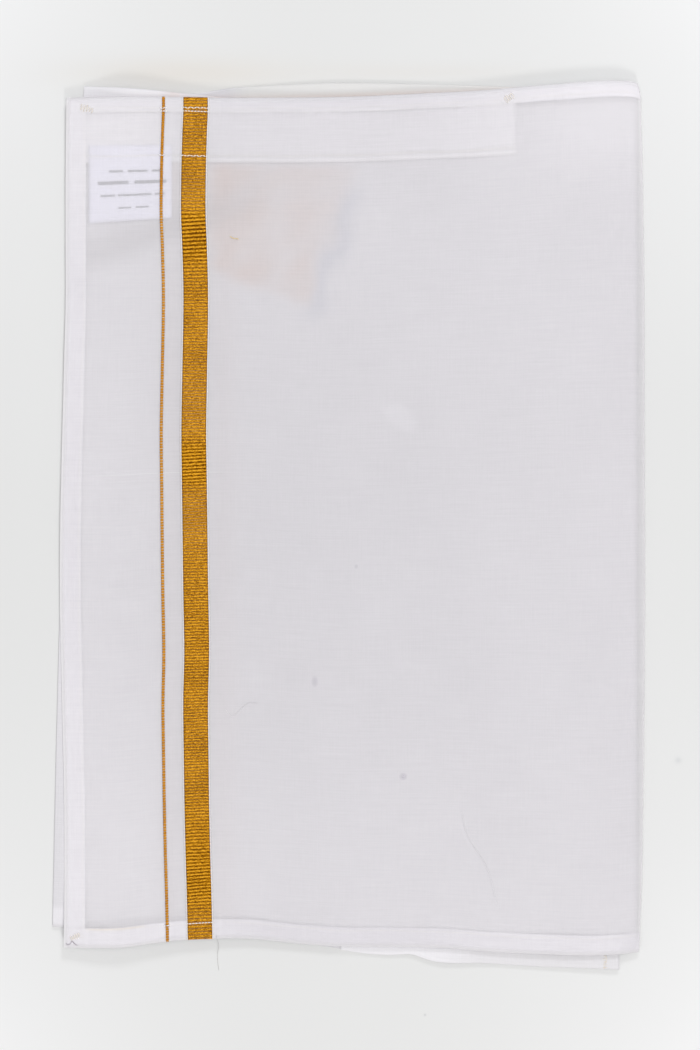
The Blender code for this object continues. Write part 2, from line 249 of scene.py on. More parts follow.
def top_cloth(s, t):
    """Points of the top stretch's middle surface, s across from the side edge and t up from
    the bottom end, in metres. Each edge's line bounds it; past an edge the cloth turns under."""
    s, t = np.broadcast_arrays(s, t)
    flat_s = np.clip(s, 0, cloth_width)
    flat_t = np.clip(t, 0, cloth_length)
    a, b = flat_s / cloth_width, flat_t / cloth_length
    left = side_line - through(SIDE_EDGE, b) + EDGE_TURN
    low = bottom_line - through(BOTTOM_END, a) + EDGE_TURN
    high = top_line + through(TOP_END, a) - EDGE_TURN
    y = low + (high - low) * b
    edge_z = top_height(np.full_like(s, cloth_width), flat_t, np.full_like(s, fold_line), y)
    fold = (edge_z - RETURN_HEIGHT) / 2
    right = fold_line + through(FOLD_EDGE, b) - fold
    x = left + (right - left) * a
    spread = (flat_s - BAND_MIDDLE) / BORDER_SWAY_REACH
    sway = np.exp(-spread ** 2) * smooth_step(a, 0.0, 0.12)
    x = x + through(BORDER_SWAY, b) * sway
    z = top_height(flat_s, flat_t, x, y)
    out_left, down_left = turned(np.maximum(-s, 0), EDGE_TURN)
    out_low, down_low = turned(np.maximum(-t, 0), EDGE_TURN)
    out_high, down_high = turned(np.maximum(t - cloth_length, 0), EDGE_TURN)
    out_fold, down_fold = turned(np.maximum(s - cloth_width, 0), fold)
    x = x - out_left + out_fold
    y = y - out_low + out_high
    z = z - np.maximum(np.maximum(down_left, down_low), down_high) - down_fold
    return np.stack((x, y, z), axis=-1)


def grid(s, t):
    """Two lists of places as a grid: rows run along t, columns along s."""
    return np.meshgrid(np.asarray(s), np.asarray(t))


def normals(points):
    """Unit normals of a grid of points, from the slopes of its rows and columns."""
    normal = np.cross(np.gradient(points, axis=1), np.gradient(points, axis=0))
    return normal / np.linalg.norm(normal, axis=-1, keepdims=True)


def moved_out(points, distance):
    """A grid's points moved along its normals."""
    return points + normals(points) * distance


def add_shell(name, points, lay, thickness, **marks):
    """A thin shell: a grid of middle points, rows and columns, thickened to both sides. lay
    is the grid of flat places in metres that its weave follows; marks are grids of numbers
    that its material reads by name."""
    rows, columns = points.shape[:2]
    first = np.arange(rows - 1)[:, None] * columns + np.arange(columns - 1)
    corners = np.stack((first, first + 1, first + columns + 1, first + columns), axis=-1)
    mesh = bpy.data.meshes.new(name)
    mesh.from_pydata(points.reshape(-1, 3), [], corners.reshape(-1, 4))
    flat = np.stack(lay, axis=-1).reshape(-1, 2)
    weave = mesh.uv_layers.new(name="lay")
    weave.data.foreach_set("uv", flat[corners.reshape(-1)].astype(np.float32).reshape(-1))
    for mark, values in marks.items():
        values = np.broadcast_to(values, points.shape[:2]).astype(np.float32)
        mesh.attributes.new(mark, "FLOAT", "POINT").data.foreach_set("value", values.ravel())
    mesh.shade_smooth()
    piece = bpy.data.objects.new(name, mesh)
    bpy.context.collection.objects.link(piece)
    solidify = piece.modifiers.new("thickness", "SOLIDIFY")
    solidify.thickness = thickness
    solidify.offset = 0
    return piece


class Number:
    """A number that varies over a surface. Arithmetic on it adds Math nodes."""

    def __init__(self, tree, socket):
        self.tree = tree
        self.socket = socket

    def math(self, operation, *values):
        node = self.tree.nodes.new("ShaderNodeMath")
        node.operation = operation
        for slot, value in zip(node.inputs, values):
            if isinstance(value, Number):
                self.tree.links.new(value.socket, slot)
            else:
                slot.default_value = value
        return Number(self.tree, node.outputs[0])

    def __add__(self, other):
        return self.math("ADD", self, other)

    def __sub__(self, other):
        return self.math("SUBTRACT", self, other)

    def __rsub__(self, other):
        return self.math("SUBTRACT", other, self)

    def __mul__(self, other):
        return self.math("MULTIPLY", self, other)

    def sine(self):
        return self.math("SINE", self)

    def within(self, low, high, soft):
        """1 between two values and 0 outside them, with soft edges."""
        rising = (self - low) * (1 / soft)
        rising = rising.math("MAXIMUM", rising, 0.0)
        falling = (high - self) * (1 / soft)
        both = rising.math("MINIMUM", rising, 1.0) * falling.math("MINIMUM", falling, 1.0)
        return both.math("MAXIMUM", both, 0.0)


class Finish:
    """A Principled material in the making. Numbers that never vary are set on its sockets."""

    def __init__(self, name, **constants):
        self.material = bpy.data.materials.new(name)
        self.material.use_nodes = True
        self.tree = self.material.node_tree
        self.shader = self.tree.nodes["Principled BSDF"]
        for socket, value in constants.items():
            self.shader.inputs[socket.replace("_", " ")].default_value = value

    def feed(self, slot, value):
        if isinstance(value, Number):
            self.tree.links.new(value.socket, slot)
        elif isinstance(value, bpy.types.NodeSocket):
            self.tree.links.new(value, slot)
        else:
            slot.default_value = value

    def node(self, kind, settings=None, sockets=None):
        """A node of a kind, with its settings made first, then its sockets fed."""
        node = self.tree.nodes.new("ShaderNode" + kind)
        for setting, value in (settings or {}).items():
            setattr(node, setting, value)
        for socket, value in (sockets or {}).items():
            self.feed(node.inputs[socket], value)
        return node

    def number(self, socket):
        return Number(self.tree, socket)

    def split(self, where):
        """A vector's parts across and up, as numbers."""
        parts = self.node("SeparateXYZ", None, {"Vector": where})
        return self.number(parts.outputs["X"]), self.number(parts.outputs["Y"])

    def lay(self):
        """The flat places across and up that the piece's weave follows, in metres."""
        return self.split(self.node("UVMap", {"uv_map": "lay"}).outputs["UV"])

    def place(self):
        """How far across and up a point of the piece lies, in metres."""
        return self.split(self.node("TexCoord").outputs["Object"])

    def mark(self, name):
        """A number that the piece's mesh carries."""
        return self.number(self.node("Attribute", {"attribute_name": name}).outputs["Fac"])

    def noise(self, u, v, across, up, detail=2.0):
        """Smooth noise from about 0 to 1, whose grains are that long across and up."""
        place = self.node("CombineXYZ", None, {"X": u * (1 / across), "Y": v * (1 / up)})
        sockets = {"Vector": place.outputs["Vector"], "Scale": 1.0, "Detail": detail}
        return self.number(self.node("TexNoise", None, sockets).outputs["Fac"])

    def mix(self, factor, first, second):
        """The first colour, turning to the second as the factor goes from 0 to 1."""
        node = self.node("Mix", {"data_type": "RGBA", "clamp_factor": True})
        self.feed(node.inputs[0], factor)
        self.feed(node.inputs[6], first)
        self.feed(node.inputs[7], second)
        return node.outputs[2]

    def relief(self, height, distance):
        """A Bump node of that height in metres, fed to the shader."""
        sockets = {"Height": height, "Distance": distance, "Strength": 1.0}
        bump = self.node("Bump", None, sockets)
        self.feed(self.shader.inputs["Normal"], bump.outputs["Normal"])


YARN = 0.45 * MM

# Painted light and shade: where the cloth is painted a little brighter or duller, standing in
# for the light between its layers as they lie closer or looser and for the uneven light on it,
# with painted shade beside the gold border
PAINTED_LIGHT_AND_SHADE = (
    Lift(215 * MM, 30 * MM, 0.17, 110 * MM, 420 * MM),
    Lift(190 * MM, 312 * MM, 0.50, 75 * MM, 55 * MM),
    Lift(20 * MM, -340 * MM, 0.24, 280 * MM, 150 * MM),
    Lift(-205 * MM, -250 * MM, 0.36, 80 * MM, 150 * MM),
    Lift(-200 * MM, 300 * MM, 0.36, 60 * MM, 80 * MM),
    Lift(-215 * MM, 60 * MM, 0.42, 60 * MM, 200 * MM),
    Lift(20 * MM, 200 * MM, 0.10, 200 * MM, 80 * MM),
    Lift(-40 * MM, 60 * MM, -0.05, 90 * MM, 170 * MM),
    Lift(-128 * MM, 20 * MM, -0.12, 7 * MM, 290 * MM),
    Lift(-96 * MM, 20 * MM, -0.08, 8 * MM, 320 * MM),
)


def tone(points):
    """How bright the cloth is over its points: the sum of the tones and of soft clouds."""
    x, y = points[..., 0], points[..., 1]
    clouds = 0.035 * unevenness(x, y, 5, 140 * MM, 22 * MM)
    return lifted(x, y, PAINTED_LIGHT_AND_SHADE) + clouds


def weave(finish, u, v):
    """Plain weave: yarns over and under by turns, with slubs along warp and weft. Gives its
    height, and the streaks that uneven yarns make, from about -1 to 1."""
    turn = math.pi / YARN
    over = (u * turn).sine() * (v * turn).sine()
    warp = finish.noise(u, v, 0.9 * MM, 26 * MM) - 0.5
    weft = finish.noise(u, v, 31 * MM, 0.8 * MM) - 0.5
    thick = finish.noise(u, v, 60 * MM, 2.6 * MM) - 0.5
    cloudy = finish.noise(u, v, 5 * MM, 4 * MM, 3.0) - 0.5
    streaks = warp * 1.3 + weft * 1.9 + thick * 0.8 + cloudy * 0.7
    return over * 0.5 + (warp + weft) * 1.2, streaks


def cotton(name, pale, deep, roughness=0.85, alpha=1.0):
    """Cotton whose colour runs between a pale and a deeper white along its streaks, and with
    the tone that its mesh carries."""
    finish = Finish(name, Roughness=roughness, Alpha=alpha, Sheen_Weight=0.12,
                    Sheen_Roughness=0.4, Specular_IOR_Level=0.25)
    u, v = finish.lay()
    height, streaks = weave(finish, u, v)
    # The mesh's mark adds painted light and shade to the yarns' own streaks
    shade = streaks * 0.28 + 0.42 + finish.mark("tone")
    colour = finish.mix(shade, (*deep, 1), (*pale, 1))
    finish.relief(height, 0.06 * MM)
    return finish, u, v, colour


def paint(finish, colour, piece):
    """Feeds the colour to the shader and gives the material to a piece."""
    finish.feed(finish.shader.inputs["Base Color"], colour)
    piece.data.materials.append(finish.material)


def close_places(start, end, step, *fine):
    """Even places from start to end, with more of them close to each fine place."""
    places = [np.linspace(start, end, max(2, round((end - start) / step) + 1))]
    for middle in fine:
        places.append(middle + np.array((-1.6, -0.8, 0.0, 0.8, 1.6)) * MM)
    joined = np.unique(np.round(np.concatenate(places), 6))
    joined = joined[(joined >= start) & (joined <= end)]
    keep = np.concatenate(([True], np.diff(joined) > 0.35 * MM))
    return joined[keep]


# How much of the top stretch's cotton covers: 1 would hide what lies under it
SHEER = 0.31
# An old crease across it, and a painted highlight along its ridge: up the cloth, then across it
CREASE_UP = 348.5 * MM
CREASE_HIGHLIGHT_UP = (348.1 * MM, 349.0 * MM)
CREASE_HIGHLIGHT_ACROSS = (16 * MM, 128 * MM)
edge_steps = EDGE_TURN * math.pi * np.array((4.0, 2.4, 1.4, 1.0, 0.75, 0.5, 0.25))
fold_steps = np.array((0.4, 0.8, 1.2, 1.6, 2.0, 2.5, 3.0, 3.5, 4.0, 4.5, 5.2, 8.0, 12.0)) * MM
across = np.concatenate((-edge_steps, close_places(0, cloth_width, 2.75 * MM, SIDE_HEM),
                         cloth_width + fold_steps))
up = np.concatenate((-edge_steps,
                     close_places(0, cloth_length, 3.1 * MM, BOTTOM_HEM,
                                  cloth_length - TOP_HEM, CREASE_UP),
                     cloth_length + edge_steps[::-1]))
lay = grid(across, up)
points = top_cloth(*lay)
from_end = np.minimum(lay[1], cloth_length - lay[1])
dense = np.maximum(0.6 * (1 - smooth_step(lay[0], 0.2 * MM, 1.0 * MM)),
                   0.3 * (1 - smooth_step(from_end, 0.2 * MM, 1.0 * MM)))
cloth_top = add_shell("cloth_top", points, lay, COTTON, tone=tone(points), dense=dense)
sheer, u, v, white = cotton("sheer_cotton", (0.995, 0.975, 1.0), (0.82, 0.805, 0.83),
                            alpha=SHEER)
sheer.feed(sheer.shader.inputs["Alpha"], sheer.mark("dense") + SHEER)
painted_crease_highlight = v.within(*CREASE_HIGHLIGHT_UP, 0.4 * MM) * u.within(*CREASE_HIGHLIGHT_ACROSS, 20 * MM)
white = sheer.mix(painted_crease_highlight * 0.9, white, (1.0, 1.0, 1.0, 1))

# Three specks of lint dye, each a soft oval: where it is across and up, and its half sizes
Speck = namedtuple("Speck", "s t half_s half_t strength")
SPECKS = (
    Speck(186.0 * MM, 195.0 * MM, 2.6 * MM, 4.3 * MM, 0.22),
    Speck(252.5 * MM, 125.5 * MM, 3.0 * MM, 2.8 * MM, 0.30),
    Speck(218.0 * MM, 281.0 * MM, 1.4 * MM, 1.8 * MM, 0.20),
)
for speck in SPECKS:
    ds, dt = (u - speck.s) * (1 / speck.half_s), (v - speck.t) * (1 / speck.half_t)
    soft = (1.25 - ds * ds - dt * dt) * speck.strength
    white = sheer.mix(soft, white, (0.42, 0.36, 0.48, 1))
paint(sheer, white, cloth_top)
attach(cloth_top, "root")
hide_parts("top_panel")


# ---------------------------------------------------------------------------------------
# The hems of the top stretch. The cloth's own edge, turned in twice and pressed flat under
# it, so three layers show denser and whiter through the sheer top one.
# ---------------------------------------------------------------------------------------

HEM_THICKNESS = 0.4 * MM
HEM_DROP = COTTON / 2 + HEM_THICKNESS / 2 + 0.03 * MM
HEM_SET_BACK = 0.15 * MM
HEM_GAP = 0.03 * MM


def places_between(places, low, high):
    """The places that lie between two others, with those two at the ends."""
    inside = places[(places > low + 0.1 * MM) & (places < high - 0.1 * MM)]
    return np.concatenate(([low], inside, [high]))


Hem = namedtuple("Hem", "name node across up")
hem_across = places_between(across, HEM_SET_BACK, cloth_width + 3.5 * MM)
HEMS = (
    Hem("hem_side", "side_hem", places_between(across, HEM_SET_BACK, SIDE_HEM),
        places_between(up, BOTTOM_HEM + HEM_GAP, cloth_length - TOP_HEM - HEM_GAP)),
    Hem("hem_bottom", "bottom_hem", hem_across,
        places_between(up, HEM_SET_BACK, BOTTOM_HEM)),
    Hem("hem_top", "top_hem", hem_across,
        places_between(up, cloth_length - TOP_HEM, cloth_length - HEM_SET_BACK)),
)
# Where the hems are duller
DULL_HEMS = (
    Lift(0, -305 * MM, -0.75, 95 * MM, 40 * MM),
    Lift(170 * MM, -320 * MM, -0.15, 60 * MM, 30 * MM),
    Lift(-204 * MM, 0, -0.2, 12 * MM, 360 * MM),
    Lift(-206 * MM, 10 * MM, -0.32, 16 * MM, 85 * MM),
    Lift(-206 * MM, 178 * MM, -0.20, 16 * MM, 24 * MM),
    Lift(213 * MM, -306 * MM, -0.65, 9 * MM, 30 * MM),
)
# The bottom hem has a faint cream row near its left end: up the hem, then across it
AGED_UP = (12.2 * MM, 13.8 * MM)
AGED_ACROSS = (14 * MM, 58 * MM)
for hem in HEMS:
    lay = grid(hem.across, hem.up)
    points = moved_out(top_cloth(*lay), -HEM_DROP)
    dull = lifted(points[..., 0], points[..., 1], DULL_HEMS)
    piece = add_shell(hem.name, points, lay, HEM_THICKNESS, tone=0.6 * tone(points) + dull)
    finish, u, v, white = cotton(hem.name, (0.97, 0.955, 0.99), (0.80, 0.78, 0.825))
    if hem.name == "hem_bottom":
        aged = v.within(*AGED_UP, 0.5 * MM) * u.within(*AGED_ACROSS, 6 * MM)
        white = finish.mix(aged * 0.6, white, (0.93, 0.80, 0.58, 1))
    paint(finish, white, piece)
    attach(piece, "root")
    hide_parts(hem.node)


# ---------------------------------------------------------------------------------------
# The hidden stretches. The same cloth goes on from the right-hand fold as the second
# stretch, round the left-hand fold, and back as the lowest one, down on the surface.
# ---------------------------------------------------------------------------------------

LOWEST_HEIGHT = 0.45 * MM
second_right = fold_line - 5.5 * MM
lowest_right = 201 * MM
fold_low = np.array((cad_low[0] + COTTON, cad_low[1] + 32 * MM))
fold_high = np.array((-196 * MM, 326 * MM))
FOLD_BOW = 3.6 * MM
FOLD_ROUND = 0.6 * MM
UNDER_SETTLE = 1.7 * MM
SECOND_LOW_END = edge((0.0, 0.0), (0.05, 1.5), (0.12, 3.0), (0.22, 1.4), (0.31, 1.2),
                      (0.40, 5.0), (0.50, 7.0), (0.66, 8.2), (0.80, 11.5), (1.0, 10.5))
LOWEST_LOW_END = edge((0.0, 0.0), (0.12, 4.0), (0.45, 13.0), (0.52, 17.6), (0.56, 20.0),
                      (0.60, 20.6), (0.63, 20.0), (0.67, 25.0), (0.76, 26.6), (0.85, 29.0),
                      (0.96, 30.6), (1.0, 31.4))
SECOND_HIGH_END = edge((0.0, 0.0), (0.11, -3.2), (0.20, -6.6), (0.35, -12.0), (1.0, -6.0))
LOWEST_HIGH_END = edge((0.0, -1.2), (0.12, -5.0), (0.20, -5.5), (0.27, -1.2), (0.36, 1.0),
                       (0.46, 2.6), (0.56, 2.3), (0.68, 1.2), (0.80, -0.4), (1.0, -6.0))
UNDER_LIFTS = (
    Lift(-165 * MM, 334 * MM, 4.6 * MM, 60 * MM, 26 * MM),
    Lift(-214 * MM, -290 * MM, 0.9 * MM, 14 * MM, 40 * MM),
    Lift(-10 * MM, 330 * MM, 0.2 * MM, 90 * MM, 14 * MM),
)
# Where the left-hand fold is duller
DULL_FOLD = (Lift(-219 * MM, -230 * MM, -0.24, 9 * MM, 110 * MM),)
# The hidden stretches' width and length, as their weave is laid out
UNDER_WIDTH = 0.42
UNDER_LENGTH = 0.65


def under_cloth(station, t):
    """Points of the hidden stretches. station runs from -1 at the lowest one's free edge to
    0 at the left-hand fold and 1 at the right; t runs from 0 at the bottom end to 1. Near 0
    the cloth goes round half an oval, pressed close there."""
    station, t = np.broadcast_arrays(station, t)
    fold_x = fold_low[0] + (fold_high[0] - fold_low[0]) * t
    fold_x = fold_x - FOLD_BOW * np.sin(math.pi * t)
    right = np.where(station < 0, lowest_right, second_right)
    bend = FOLD_ROUND * 1.5 / (right - fold_x)
    part = np.clip((np.abs(station) - bend) / (1 - bend), 0, 1)
    angle = np.clip(station / bend, -1, 1) * math.pi / 2
    x = fold_x + FOLD_ROUND * (1 - np.cos(angle)) + (right - fold_x - FOLD_ROUND) * part
    low_out = np.where(station < 0, through(LOWEST_LOW_END, part),
                       through(SECOND_LOW_END, part))
    high_out = np.where(station < 0, through(LOWEST_HIGH_END, part),
                        through(SECOND_HIGH_END, part))
    low = fold_low[1] - low_out
    high = fold_high[1] + high_out
    y = low + (high - low) * t
    settled = UNDER_SETTLE * (1 - smooth_step(x - fold_x, 0, SIDE_SETTLE_REACH))
    radius = (SECOND_HEIGHT - settled - LOWEST_HEIGHT) / 2
    z = LOWEST_HEIGHT + radius * (1 + np.sin(angle))
    upper = smooth_step(station, -0.02, 0.08)
    loose = 0.30 * MM * unevenness(x, y, 8, 150 * MM, 40 * MM)
    z = z + upper * (loose + lifted(x, y, UNDER_LIFTS))
    far_edge = smooth_step(-station, 0.2, 0.5) * smooth_step(y, 0.300, 0.330)
    return np.stack((x, y, z + 0.9 * MM * far_edge), axis=-1)


bend_places = np.array((0.15, 0.3, 0.5, 0.7, 0.9, 1.8, 3.5, 5.5)) * MM / UNDER_WIDTH
flat_places = np.linspace(0.02, 1, 92)
half = np.concatenate((bend_places, flat_places))
station = np.concatenate((-half[::-1], [0], half))
places = np.concatenate((np.linspace(0, 0.628, 146), np.linspace(0.630, UNDER_LENGTH, 14)))
lay = grid(station * UNDER_WIDTH, places)
points = under_cloth(station, lay[1] / UNDER_LENGTH)
x, y = points[..., 0], points[..., 1]

# A faint warm print shows through from further down, with a cool edge along its right side.
# Left of it runs a painted grey shade, where the layers stand off each other, and beside the
# gold a painted warm reflection of it. All these are on the second stretch. Along the top
# edge, where the cloth is one layer deep, both stretches have a painted warm shadow, and past
# it they take the surface's colour.
ragged = 7 * MM * unevenness(x, y, 33, 70 * MM, 14 * MM)
print_right = 12 * MM + (y - 267 * MM) * 0.33 + ragged
print_left = -108 * MM + np.maximum(193 * MM - y, 0) * 2.4 + ragged
warm = smooth_step(x, print_left - 6 * MM, print_left + 12 * MM)
warm = warm * smooth_step(-x, -print_right - 2 * MM, -print_right + 14 * MM)
warm = warm * smooth_step(y, 150 * MM, 172 * MM) * smooth_step(-y, -272 * MM, -262 * MM)
blotches = 0.72 + 0.30 * unevenness(x, y, 34, 46 * MM, 9 * MM)
nearer = 0.68 + 0.32 * np.exp(-((x + 88 * MM) / (34 * MM)) ** 2)
warm = warm * np.clip(blotches * nearer, 0, 1)
painted_gold_reflection = np.exp(-((x + 92 * MM) / (10 * MM)) ** 2) + np.exp(-((x + 129 * MM) / (6 * MM)) ** 2)
painted_gold_reflection = painted_gold_reflection * (0.16 + 0.20 * smooth_step(y, 200 * MM, 260 * MM))
top_edge = top_line + through(TOP_END, np.clip((x - side_line) / cloth_width, 0, 1))
painted_rim_shadow = np.exp(-((y - top_edge - 1.0 * MM) / (2.4 * MM)) ** 2)
painted_rim_shadow = painted_rim_shadow * np.exp(-((x - 10 * MM) / (120 * MM)) ** 2) * 0.5
upper = smooth_step(lay[0], -2 * MM, 0)
warm = (warm + painted_gold_reflection) * upper + painted_rim_shadow
cool = np.exp(-((x - print_right + 1 * MM) / (8 * MM)) ** 2)
cool = cool * smooth_step(y, 144 * MM, 168 * MM) * smooth_step(-y, -262 * MM, -235 * MM)
cool = cool * upper
sweep = y - (188 * MM + (x + 207 * MM) * 0.342)
grey = smooth_step(sweep, -12 * MM, 6 * MM) * smooth_step(-sweep, -34 * MM, -6 * MM)
grey = grey * smooth_step(-x, 40 * MM, 100 * MM) * upper
hemmed = np.maximum(smooth_step(-lay[1], -14.4 * MM, -13.6 * MM) * smooth_step(-x, 0.198, 0.205),
                    smooth_step(lay[1], 638.6 * MM, 639.4 * MM) * smooth_step(-x, 0.09, 0.13))
clear = smooth_step(y - top_edge, -1 * MM, 1 * MM) * smooth_step(x, -95 * MM, -70 * MM)
dull = lifted(x, y, DULL_FOLD)
cloth_under = add_shell("cloth_under", points, lay, COTTON, tone=0.6 * tone(points) + dull,
                        warm=warm, cool=cool, grey=grey, hemmed=hemmed, clear=clear)
# Painted shade: the hidden stretches are the same cotton as the top one, painted darker for the
# light lost between the layers
plain, u, v, white = cotton("under_cotton", (0.84, 0.825, 0.855), (0.67, 0.655, 0.69))
white = plain.mix(plain.mark("clear") * 0.8, white, (0.80, 0.79, 0.775, 1))
white = plain.mix(plain.mark("hemmed") * 0.4, white, (0.97, 0.95, 0.99, 1))
mottled = plain.noise(u, v, 3.2 * MM, 1.6 * MM, 3.0) * 0.7 + 0.6
white = plain.mix(plain.mark("warm") * mottled * 0.78, white, (0.68, 0.515, 0.45, 1))
white = plain.mix(plain.mark("cool") * mottled * 0.62, white, (0.52, 0.53, 0.62, 1))
white = plain.mix(plain.mark("grey") * 0.5, white, (0.50, 0.475, 0.50, 1))
paint(plain, white, cloth_under)
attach(cloth_under, "root")
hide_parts("under_layers")


# ---------------------------------------------------------------------------------------
# The bottom hem of the lowest stretch, where it stands out past the top one. The same
# double turn, a little curled, lying almost on the surface.
# ---------------------------------------------------------------------------------------

LOWER_HEM_START = -6 * MM
LOWER_HEM_DEPTH = 13 * MM
LOWER_HEM_TURN = 0.35 * MM


def lower_hem(x, inwards):
    """Points of the hem: inwards from the lowest stretch's bottom end, turned under past it."""
    x, inwards = np.broadcast_arrays(x, inwards)
    part = (x - cad_low[0]) / (lowest_right - cad_low[0])
    edge = fold_low[1] - through(LOWEST_LOW_END, part) + LOWER_HEM_TURN - 0.4 * MM
    out, down = turned(np.maximum(-inwards, 0), LOWER_HEM_TURN)
    y = edge + np.maximum(inwards, 0) - out
    curl = 0.9 * MM * np.exp(-((x - 75 * MM) / (32 * MM)) ** 2)
    curl = curl + 1.1 * MM * np.exp(-((x - 190 * MM) / (50 * MM)) ** 2)
    curl = curl * smooth_step(-inwards, -LOWER_HEM_DEPTH, 0)
    z = LOWEST_HEIGHT + 2 * LOWER_HEM_TURN + 0.25 * MM + curl - down
    return np.stack((x, y, z + 0.08 * MM * unevenness(x, y, 21, 40 * MM, 12 * MM)), axis=-1)


turn_under = LOWER_HEM_TURN * math.pi * np.array((2.2, 1.4, 1.0, 0.75, 0.5, 0.25))
lay = grid(np.linspace(LOWER_HEM_START, lowest_right, 110),
           np.concatenate((-turn_under, np.linspace(0, LOWER_HEM_DEPTH, 8))))
points = lower_hem(*lay)
dull = -0.5 * smooth_step(points[..., 0], 60 * MM, 105 * MM)
hem_lower = add_shell("hem_lower", points, lay, COTTON, tone=tone(points) * 0.3 + 0.3 + dull)
finish, u, v, white = cotton("hem_lower", (0.90, 0.885, 0.92), (0.74, 0.725, 0.745))
paint(finish, white, hem_lower)
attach(hem_lower, "root")
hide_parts("lower_bottom_hem")


# ---------------------------------------------------------------------------------------
# The waistband. A strip of the same cotton, doubled, sewn behind the top end from the side
# edge almost three quarters of the way across. It shows through the sheer top stretch.
# ---------------------------------------------------------------------------------------

WAIST_HEIGHT = 3.55 * MM
WAIST_THICKNESS = 0.5 * MM

lay = grid(close_places(1.2 * MM, WAIST_LENGTH, 3.2 * MM),
           cloth_length - np.linspace(WAIST_DEPTH, 1.2 * MM, 20))
points = top_cloth(*lay)
above = lifted(points[..., 0], points[..., 1], TOP_LIFTS)
sag = 0.2 * MM * unevenness(points[..., 0], points[..., 1], 31, 120 * MM, 22 * MM)
settled = INNER_SETTLE * (1 - smooth_step(lay[0], 0, SIDE_SETTLE_REACH))
points[..., 2] = WAIST_HEIGHT - settled + above + sag
waist_strip = add_shell("waist_strip", points, lay, WAIST_THICKNESS, tone=tone(points))
finish, u, v, white = cotton("waist_cotton", (0.915, 0.90, 0.93), (0.78, 0.76, 0.795))
selvedge = v.within(cloth_length - WAIST_DEPTH, cloth_length - WAIST_DEPTH + 3 * MM, 0.4 * MM)
white = finish.mix(selvedge * 0.6, white, (0.97, 0.955, 0.97, 1))
paint(finish, white, waist_strip)
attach(waist_strip, "root")
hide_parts("waistband")


# ---------------------------------------------------------------------------------------
# The care label. A white printed tape, its upper edge sewn over the waistband and its lower
# edge free. Its print is plain bars.
# ---------------------------------------------------------------------------------------

LABEL_THICKNESS = 0.22 * MM
label_low, label_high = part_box("care_label")
lay = grid(np.linspace(label_low[0], label_high[0], 26),
           np.linspace(label_low[1], label_high[1], 26))
x, y = lay
part_x = (x - label_low[0]) / (label_high[0] - label_low[0])
part_y = (y - label_low[1]) / (label_high[1] - label_low[1])
skewed = y + 3.0 * MM * part_x * (1 - part_y) - 0.8 * MM * (1 - part_x) * (1 - part_y)
z = WAIST_HEIGHT - 0.05 * MM + 0.4 * MM * smooth_step(part_y, 0.66, 0.82)
z = z + lifted(x, y, TOP_LIFTS) + 0.2 * MM * smooth_step(1 - part_y, 0.75, 1.0) * part_x
z = z - INNER_SETTLE * (1 - smooth_step(x - side_line, 0, SIDE_SETTLE_REACH))
z = z + 0.10 * MM * unevenness(x, y, 41, 60 * MM, 20 * MM)
label_tape = add_shell("label_tape", np.stack((x, skewed, z), axis=-1), lay, LABEL_THICKNESS)
tape = Finish("label_tape", Roughness=0.55, Specular_IOR_Level=0.4)
u, v = tape.lay()
height, streaks = weave(tape, u, v)
tape.relief(height, 0.03 * MM)
colour = tape.mix(streaks * 0.5 + 0.5, (0.85, 0.845, 0.97, 1), (0.92, 0.91, 0.99, 1))

Bar = namedtuple("Bar", "left right up height")
BARS = (
    Bar(15, 26, 37.5, 1.9), Bar(29, 44, 37.5, 1.9), Bar(47, 54, 37.5, 1.9),
    Bar(7, 30, 29.0, 2.8), Bar(34, 58, 29.0, 2.8),
    Bar(9, 20, 19.5, 1.9), Bar(22, 47, 19.5, 1.9), Bar(49, 57, 19.5, 1.9),
    Bar(22, 32, 10.0, 1.5), Bar(35, 45, 10.0, 1.5),
)
ink = None
for bar in BARS:
    beside = u.within(label_low[0] + bar.left * MM, label_low[0] + bar.right * MM, 0.3 * MM)
    level = v.within(label_low[1] + (bar.up - bar.height / 2) * MM,
                     label_low[1] + (bar.up + bar.height / 2) * MM, 0.3 * MM)
    ink = beside * level if ink is None else ink + beside * level
worn = tape.noise(u, v, 1.4 * MM, 1.2 * MM) * 1.1 + 0.25
colour = tape.mix(ink * worn, colour, (0.10, 0.10, 0.13, 1))
paint(tape, colour, label_tape)
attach(label_tape, "root")
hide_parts("care_label")


# ---------------------------------------------------------------------------------------
# The woven gold border. Zari, a gold metal thread wound on a core, is laid in as extra
# threads: a broad band with cross ribs between two slim white cords, and a beaded line.
# ---------------------------------------------------------------------------------------

LINE_START = 71.0 * MM
LINE_WIDTH = 2.1 * MM
CORD_WIDTH = 0.55 * MM
CORD_GAP = 0.12 * MM
ROW_STEP = 0.38 * MM
ZARI_THICKNESS = 0.12 * MM
ZARI_LIFT = COTTON / 2 + ZARI_THICKNESS / 2 + 0.05 * MM

